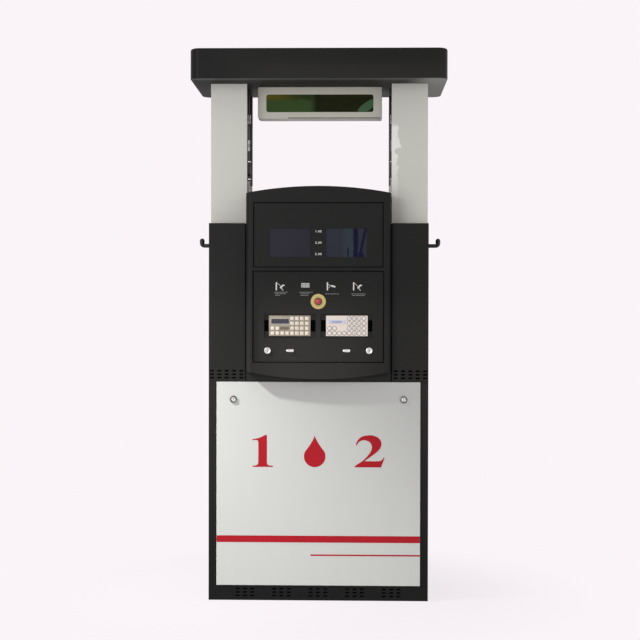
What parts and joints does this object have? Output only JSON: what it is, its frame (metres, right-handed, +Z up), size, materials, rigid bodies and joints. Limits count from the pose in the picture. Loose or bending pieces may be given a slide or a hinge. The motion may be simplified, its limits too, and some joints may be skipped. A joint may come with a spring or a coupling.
{
  "type": "lpg dispenser",
  "caption": "Free-standing LPG dispenser: vented plinth, steel cabinet with tilting panels, raised display and keypad head, open columns with hose lines, sign box and canopy.",
  "frame": {"origin": "on the floor, at the middle of the object's width and depth", "axes": "+Z up, -Y is the front with the display and keypads, +X to the right seen from the front"},
  "size_m": [1.022, 0.5, 2.2],
  "materials": {
    "black_powder_coat": "satin textured powder coat",
    "hook_black": "satin",
    "canopy_black": "satin",
    "panel_white": "satin enamel",
    "column_grey": "satin enamel",
    "chrome": "polished",
    "zinc_steel": "zinc plated",
    "dark_lens": "dark tinted lens",
    "green_lens": "green tinted lens",
    "circuit_board": "circuit board",
    "keypad_metal": "warm satin metal",
    "keypad_film": "film-covered plate",
    "key_caps": "moulded keys",
    "stop_yellow": "printed legend plate",
    "stop_red": "moulded button",
    "pale_hose": "pale hose cover",
    "grey_casting": "painted casting",
    "brass": "machined",
    "lever_yellow": "painted lever"
  },
  "bodies": {
    "cabinet": {"base_plinth": "black_powder_coat", "cabinet_side_left": "black_powder_coat", "cabinet_side_right": "black_powder_coat", "mid_deck": "black_powder_coat", "wing_left": "black_powder_coat", "wing_right": "black_powder_coat", "head_shell": "black_powder_coat", "bezel": "black_powder_coat", "head_apron": "black_powder_coat", "canopy_soffit": "black_powder_coat", "canopy_shell": "canopy_black", "column_left": "column_grey", "column_right": "column_grey", "sign_box": "column_grey", "display_hinge_rod": "zinc_steel", "door_hinge_rod": "zinc_steel", "hook_bracket_left": "zinc_steel", "hook_bracket_right": "zinc_steel", "canopy_frame": "zinc_steel", "breakaway_left": "zinc_steel", "breakaway_right": "zinc_steel", "sign_window": "green_lens", "sign_board": "circuit_board", "riser_tube_left": "pale_hose", "riser_tube_right": "pale_hose", "upper_line_left": "pale_hose", "upper_line_right": "pale_hose", "separator_vessel": "grey_casting", "flow_meter_left": "grey_casting", "flow_meter_right": "grey_casting", "junction_box": "grey_casting", "inlet_valve": "brass"},
    "front_panel": {"front_lower_panel": "panel_white"},
    "rear_panel": {"rear_lower_panel": "panel_white"},
    "front_lock_left": {"front_panel_lock_left": "chrome"},
    "front_lock_right": {"front_panel_lock_right": "chrome"},
    "rear_lock_left": {"rear_panel_lock_left": "chrome"},
    "rear_lock_right": {"rear_panel_lock_right": "chrome"},
    "display_door": {"display_panel": "black_powder_coat", "display_lens_left": "dark_lens", "display_lens_right": "dark_lens", "display_board": "circuit_board"},
    "keypad_door_body": {"keypad_door": "black_powder_coat", "keypad_fascia_left": "keypad_metal", "keypad_fascia_right": "keypad_film", "estop_plate": "stop_yellow", "estop_collar": "chrome"},
    "stop_plunger": {"estop_plunger": "zinc_steel"},
    "stop_head": {"estop_head": "stop_red"},
    "keys_left": {"key_mat_left": "key_caps"},
    "keys_right": {"key_mat_right": "key_caps"},
    "lock_left": {"door_lock_left": "chrome"},
    "lock_right": {"door_lock_right": "chrome"},
    "latch_left": {"door_latch_left": "chrome"},
    "latch_right": {"door_latch_right": "chrome"},
    "service_door": {"rear_service_door": "black_powder_coat"},
    "service_lock": {"rear_service_lock": "chrome"},
    "hook_left": {"nozzle_hook_left": "hook_black"},
    "hook_right": {"nozzle_hook_right": "hook_black"},
    "valve_lever": {"inlet_valve_lever": "lever_yellow"}
  },
  "joints": [
    {"name": "front_panel_tilt", "type": "hinge", "parent": "cabinet", "child": "front_panel", "pos_m": [0, -0.203, 0.061], "axis": [1, 0, 0], "range_deg": [0, 25]},
    {"name": "rear_panel_tilt", "type": "hinge", "parent": "cabinet", "child": "rear_panel", "pos_m": [0, 0.203, 0.061], "axis": [-1, 0, 0], "range_deg": [0, 25]},
    {"name": "front_panel_lock_left_turn", "type": "hinge", "parent": "front_panel", "child": "front_lock_left", "pos_m": [-0.34, -0.203, 0.806], "axis": [0, 1, 0], "range_deg": [0, 90]},
    {"name": "front_panel_lock_right_turn", "type": "hinge", "parent": "front_panel", "child": "front_lock_right", "pos_m": [0.34, -0.203, 0.806], "axis": [0, -1, 0], "range_deg": [0, 90]},
    {"name": "rear_panel_lock_left_turn", "type": "hinge", "parent": "rear_panel", "child": "rear_lock_left", "pos_m": [-0.34, 0.203, 0.806], "axis": [0, 1, 0], "range_deg": [0, 90]},
    {"name": "rear_panel_lock_right_turn", "type": "hinge", "parent": "rear_panel", "child": "rear_lock_right", "pos_m": [0.34, 0.203, 0.806], "axis": [0, -1, 0], "range_deg": [0, 90]},
    {"name": "display_door_swing", "type": "hinge", "parent": "cabinet", "child": "display_door", "pos_m": [0, -0.226, 1.5807], "axis": [-1, 0, 0], "range_deg": [0, 70]},
    {"name": "keypad_door_swing", "type": "hinge", "parent": "cabinet", "child": "keypad_door_body", "pos_m": [0, -0.222, 1.3097], "axis": [-1, 0, 0], "range_deg": [0, 70]},
    {"name": "door_lock_left_turn", "type": "hinge", "parent": "keypad_door_body", "child": "lock_left", "pos_m": [-0.202, -0.234, 1.0017], "axis": [0, 1, 0], "range_deg": [0, 90]},
    {"name": "door_latch_left_turn", "type": "hinge", "parent": "keypad_door_body", "child": "latch_left", "pos_m": [-0.112, -0.234, 1.0017], "axis": [0, 1, 0], "range_deg": [0, 90]},
    {"name": "door_lock_right_turn", "type": "hinge", "parent": "keypad_door_body", "child": "lock_right", "pos_m": [0.202, -0.234, 1.0017], "axis": [0, -1, 0], "range_deg": [0, 90]},
    {"name": "door_latch_right_turn", "type": "hinge", "parent": "keypad_door_body", "child": "latch_right", "pos_m": [0.112, -0.234, 1.0017], "axis": [0, -1, 0], "range_deg": [0, 90]},
    {"name": "stop_press", "type": "slide", "parent": "keypad_door_body", "child": "stop_plunger", "axis": [0, 1, 0], "range_m": [0, 0.003], "stiffness_N_per_m": 1200},
    {"name": "stop_twist", "type": "hinge", "parent": "stop_plunger", "child": "stop_head", "pos_m": [0, -0.234, 1.1967], "axis": [0, 1, 0], "range_deg": [0, 45], "stiffness_Nm_per_rad": 0.05},
    {"name": "keys_left_press", "type": "slide", "parent": "keypad_door_body", "child": "keys_left", "axis": [0, 1, 0], "range_m": [0, 0.001], "stiffness_N_per_m": 600},
    {"name": "keys_right_press", "type": "slide", "parent": "keypad_door_body", "child": "keys_right", "axis": [0, 1, 0], "range_m": [0, 0.001], "stiffness_N_per_m": 600},
    {"name": "service_door_swing", "type": "hinge", "parent": "cabinet", "child": "service_door", "pos_m": [0.23, 0.202, 0.9597], "axis": [0, 0, -1], "range_deg": [0, 110]},
    {"name": "service_lock_turn", "type": "hinge", "parent": "service_door", "child": "service_lock", "pos_m": [-0.195, 0.202, 1.2597], "axis": [0, -1, 0], "range_deg": [0, 90]},
    {"name": "hook_left_rock", "type": "hinge", "parent": "cabinet", "child": "hook_left", "pos_m": [-0.423, 0, 1.4277], "axis": [0, -1, 0], "range_deg": [0, 8], "stiffness_Nm_per_rad": 3, "springref_deg": -6.88},
    {"name": "hook_right_rock", "type": "hinge", "parent": "cabinet", "child": "hook_right", "pos_m": [0.423, 0, 1.4277], "axis": [0, 1, 0], "range_deg": [0, 8], "stiffness_Nm_per_rad": 3, "springref_deg": -6.88},
    {"name": "valve_lever_turn", "type": "hinge", "parent": "cabinet", "child": "valve_lever", "pos_m": [-0.1, -0.0463, 0.18], "axis": [0, 1, 0], "range_deg": [0, 90]}
  ]
}
